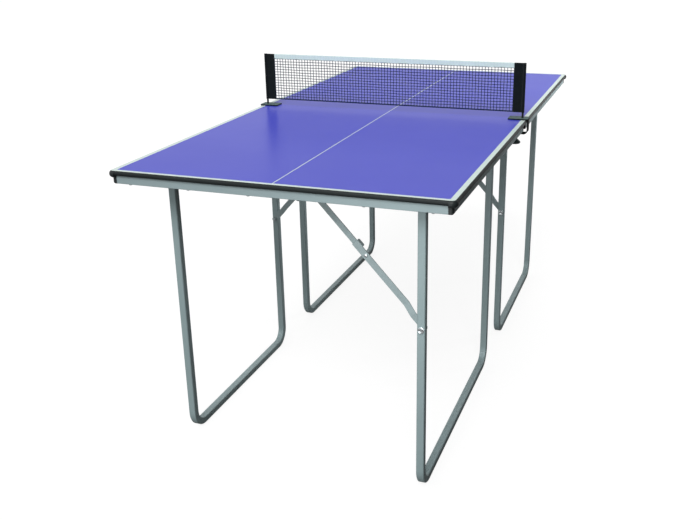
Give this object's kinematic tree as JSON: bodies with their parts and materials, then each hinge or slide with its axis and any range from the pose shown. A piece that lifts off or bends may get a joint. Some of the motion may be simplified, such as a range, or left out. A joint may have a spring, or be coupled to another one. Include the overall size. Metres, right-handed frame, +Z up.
{
  "type": "table tennis table",
  "caption": "Midsize table tennis table that parts at its clamp-on net, on fold-away U-shaped tube legs held open by folding steel braces.",
  "frame": {"origin": "on the floor under the middle of the table", "axes": "+X across the table, +Y along the table away from the viewer, +Z up"},
  "size_m": [0.846, 1.6824, 0.92],
  "materials": {
    "playing_board": "satin",
    "black_edging": "satin",
    "black_corner": "satin",
    "silver_paint": "satin",
    "leg_paint": "satin",
    "link_steel": "brushed",
    "zinc": "bright zinc",
    "net_cord": "matt",
    "white_tape": "matt",
    "black_cloth": "matt",
    "post_steel": "satin",
    "clamp_paint": "satin",
    "pad_rubber": "matt",
    "black_knob": "satin"
  },
  "bodies": {
    "near_half": {"near_top_panel": "playing_board", "near_edge_band": "black_edging", "near_corner_caps": "black_corner", "near_right_apron": "silver_paint", "near_net_apron": "silver_paint", "near_left_apron": "silver_paint", "near_end_apron": "silver_paint", "near_leg_brackets": "silver_paint", "near_brace_brackets": "zinc", "right_net_clamp": "clamp_paint", "left_net_clamp": "clamp_paint", "net_posts": "post_steel"},
    "far_half": {"far_top_panel": "playing_board", "far_edge_band": "black_edging", "far_corner_caps": "black_corner", "far_right_apron": "silver_paint", "far_net_apron": "silver_paint", "far_left_apron": "silver_paint", "far_end_apron": "silver_paint", "far_leg_brackets": "silver_paint", "far_brace_brackets": "zinc"},
    "net": {"net_mesh": "net_cord", "net_top_tape": "white_tape", "net_bottom_cord": "net_cord", "net_sleeves": "black_cloth"},
    "near_wide_leg": {"near_wide_leg": "leg_paint"},
    "near_wide_upper_link": {"near_wide_upper_link": "link_steel"},
    "near_wide_lower_link": {"near_wide_lower_link": "link_steel"},
    "near_narrow_leg": {"near_narrow_leg": "leg_paint"},
    "near_narrow_upper_link": {"near_narrow_upper_link": "link_steel"},
    "near_narrow_lower_link": {"near_narrow_lower_link": "link_steel"},
    "far_wide_leg": {"far_wide_leg": "leg_paint"},
    "far_wide_upper_link": {"far_wide_upper_link": "link_steel"},
    "far_wide_lower_link": {"far_wide_lower_link": "link_steel"},
    "far_narrow_leg": {"far_narrow_leg": "leg_paint"},
    "far_narrow_upper_link": {"far_narrow_upper_link": "link_steel"},
    "far_narrow_lower_link": {"far_narrow_lower_link": "link_steel"},
    "right_clamp_pad": {"right_clamp_pad": "pad_rubber"},
    "right_clamp_screw": {"right_clamp_screw": "zinc", "right_clamp_knob": "black_knob"},
    "left_clamp_pad": {"left_clamp_pad": "pad_rubber"},
    "left_clamp_screw": {"left_clamp_screw": "zinc", "left_clamp_knob": "black_knob"}
  },
  "joints": [
    {"name": "halves_part", "type": "slide", "parent": "near_half", "child": "far_half", "axis": [0, 1, 0], "range_m": [0, 0.3]},
    {"name": "net_lift", "type": "slide", "parent": "near_half", "child": "net", "axis": [0, 0, 1], "range_m": [0, 0.16]},
    {"name": "near_wide_leg_fold", "type": "hinge", "parent": "near_half", "child": "near_wide_leg", "pos_m": [0.33, -0.77, 0.72], "axis": [0, 1, 0], "range_deg": [0, 90]},
    {"name": "near_wide_brace_swing", "type": "hinge", "parent": "near_half", "child": "near_wide_upper_link", "pos_m": [0.064, -0.74525, 0.72], "axis": [0, 1, 0], "range_deg": [-47.48, 0]},
    {"name": "near_wide_brace_knuckle", "type": "hinge", "parent": "near_wide_upper_link", "child": "near_wide_lower_link", "pos_m": [0.18889, -0.7465, 0.58384], "axis": [0, 1, 0], "range_deg": [0, 180]},
    {"name": "near_narrow_leg_fold", "type": "hinge", "parent": "near_half", "child": "near_narrow_leg", "pos_m": [-0.33, -0.1343, 0.72], "axis": [0, -1, 0], "range_deg": [0, 90]},
    {"name": "near_narrow_brace_swing", "type": "hinge", "parent": "near_half", "child": "near_narrow_upper_link", "pos_m": [-0.064, -0.15905, 0.72], "axis": [0, -1, 0], "range_deg": [-47.48, 0]},
    {"name": "near_narrow_brace_knuckle", "type": "hinge", "parent": "near_narrow_upper_link", "child": "near_narrow_lower_link", "pos_m": [-0.18889, -0.1578, 0.58384], "axis": [0, -1, 0], "range_deg": [0, 180]},
    {"name": "far_wide_leg_fold", "type": "hinge", "parent": "far_half", "child": "far_wide_leg", "pos_m": [-0.33, 0.77, 0.72], "axis": [0, -1, 0], "range_deg": [0, 90]},
    {"name": "far_wide_brace_swing", "type": "hinge", "parent": "far_half", "child": "far_wide_upper_link", "pos_m": [-0.064, 0.74525, 0.72], "axis": [0, -1, 0], "range_deg": [-47.48, 0]},
    {"name": "far_wide_brace_knuckle", "type": "hinge", "parent": "far_wide_upper_link", "child": "far_wide_lower_link", "pos_m": [-0.18889, 0.7465, 0.58384], "axis": [0, -1, 0], "range_deg": [0, 180]},
    {"name": "far_narrow_leg_fold", "type": "hinge", "parent": "far_half", "child": "far_narrow_leg", "pos_m": [0.33, 0.1343, 0.72], "axis": [0, 1, 0], "range_deg": [0, 90]},
    {"name": "far_narrow_brace_swing", "type": "hinge", "parent": "far_half", "child": "far_narrow_upper_link", "pos_m": [0.064, 0.15905, 0.72], "axis": [0, 1, 0], "range_deg": [-47.48, 0]},
    {"name": "far_narrow_brace_knuckle", "type": "hinge", "parent": "far_narrow_upper_link", "child": "far_narrow_lower_link", "pos_m": [0.18889, 0.1578, 0.58384], "axis": [0, 1, 0], "range_deg": [0, 180]},
    {"name": "right_pad_slide", "type": "slide", "parent": "near_half", "child": "right_clamp_pad", "axis": [0, 0, 1], "range_m": [-0.021, 0]},
    {"name": "right_knob_turn", "type": "hinge", "parent": "right_clamp_pad", "child": "right_clamp_screw", "pos_m": [0.385, 0, 0.7], "axis": [0, 0, 1], "range_deg": [-2520, 0]},
    {"name": "left_pad_slide", "type": "slide", "parent": "near_half", "child": "left_clamp_pad", "axis": [0, 0, 1], "range_m": [-0.021, 0]},
    {"name": "left_knob_turn", "type": "hinge", "parent": "left_clamp_pad", "child": "left_clamp_screw", "pos_m": [-0.385, 0, 0.7], "axis": [0, 0, 1], "range_deg": [-2520, 0]}
  ],
  "couplings": [
    {"joint": "near_wide_brace_swing", "follows": "near_wide_leg_fold", "ratio": -0.52746},
    {"joint": "near_wide_brace_knuckle", "follows": "near_wide_leg_fold", "ratio": 2},
    {"joint": "near_narrow_brace_swing", "follows": "near_narrow_leg_fold", "ratio": -0.52746},
    {"joint": "near_narrow_brace_knuckle", "follows": "near_narrow_leg_fold", "ratio": 2},
    {"joint": "far_wide_brace_swing", "follows": "far_wide_leg_fold", "ratio": -0.52746},
    {"joint": "far_wide_brace_knuckle", "follows": "far_wide_leg_fold", "ratio": 2},
    {"joint": "far_narrow_brace_swing", "follows": "far_narrow_leg_fold", "ratio": -0.52746},
    {"joint": "far_narrow_brace_knuckle", "follows": "far_narrow_leg_fold", "ratio": 2},
    {"joint": "right_knob_turn", "follows": "right_pad_slide", "rad_per_m": 2094.4},
    {"joint": "left_knob_turn", "follows": "left_pad_slide", "rad_per_m": 2094.4}
  ]
}
